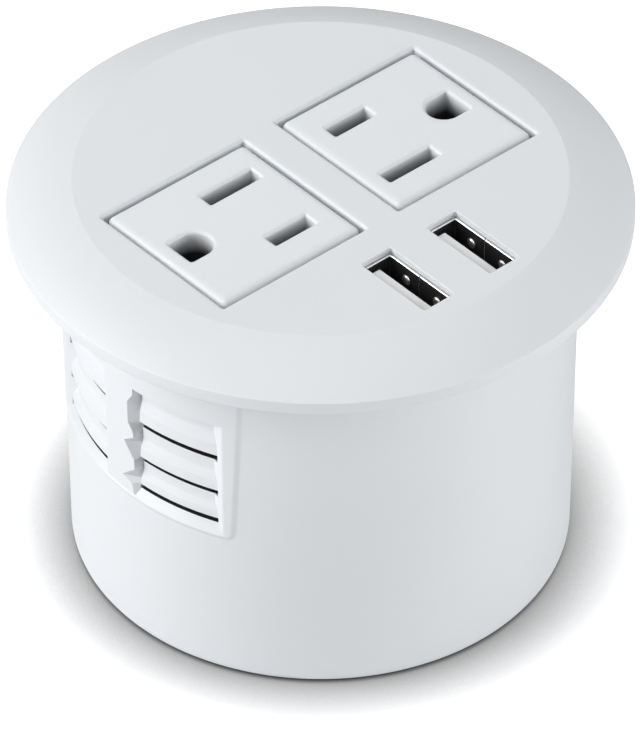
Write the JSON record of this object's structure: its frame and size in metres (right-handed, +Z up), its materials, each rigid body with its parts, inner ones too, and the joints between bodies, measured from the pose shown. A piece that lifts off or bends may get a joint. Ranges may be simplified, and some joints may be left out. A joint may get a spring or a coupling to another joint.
{
  "type": "in-desk power module",
  "caption": "Round in-desk power module with a bevelled flange, square mains outlets, USB outlets and a vented cup body.",
  "frame": {"origin": "centre of the cup's base, on the surface it stands on", "axes": "+Z up along the cup's axis, +X along the pair of mains outlets, -Y towards the USB outlets"},
  "size_m": [0.089, 0.089, 0.064],
  "materials": {
    "housing_white": "satin cool white moulding",
    "outlet_white": "satin white moulding",
    "usb_shell_steel": "nickel-plated folded strip",
    "screw_steel": "zinc-plated",
    "usb_tongue_white": "satin pale moulding",
    "contact_brass": "stamped, bright",
    "terminal_brass": "turned",
    "usb_contact_gold": "flash gold plate",
    "board_green": "solder mask on glass laminate",
    "ferrite_grey": "sintered ferrite",
    "winding_tape": "polyester tape",
    "capacitor_sleeve": "shrunk sleeve",
    "film_yellow": "moulded case",
    "fuse_black": "moulded case",
    "rectifier_black": "moulded case",
    "copper_winding": "enamelled wire",
    "carrier_black": "moulded",
    "insulator_grey": "pressed board",
    "lead_black": "extruded insulation",
    "lead_white": "extruded insulation",
    "lead_red": "extruded insulation",
    "bush_black": "moulded nylon"
  },
  "bodies": {
    "root": {"bar_insulator": "insulator_grey", "bridge_rectifier": "rectifier_black", "bulk_capacitor": "capacitor_sleeve", "carrier_screws": "screw_steel", "case_screws": "screw_steel", "choke_core": "ferrite_grey", "choke_winding": "copper_winding", "collar_screws": "screw_steel", "contact_carrier": "carrier_black", "cord_bush": "bush_black", "cord_collar": "carrier_black", "earth_strap": "contact_brass", "film_capacitor": "film_yellow", "fuse": "fuse_black", "hot_bar": "contact_brass", "housing_cup": "housing_white", "line_lead": "lead_black", "neutral_bar": "contact_brass", "neutral_lead": "lead_white", "outlet_face_left": "outlet_white", "outlet_face_right": "outlet_white", "output_capacitors": "capacitor_sleeve", "power_board": "board_green", "power_board_screws": "screw_steel", "terminal_screws": "terminal_brass", "top_plate": "housing_white", "transformer_core": "ferrite_grey", "transformer_winding": "winding_tape", "usb_board": "board_green", "usb_board_screws": "screw_steel", "usb_contacts_left": "usb_contact_gold", "usb_contacts_right": "usb_contact_gold", "usb_lead_negative": "lead_black", "usb_lead_positive": "lead_red", "usb_shell_left": "usb_shell_steel", "usb_shell_right": "usb_shell_steel", "usb_tongue_left": "usb_tongue_white", "usb_tongue_right": "usb_tongue_white"}
  },
  "joints": []
}
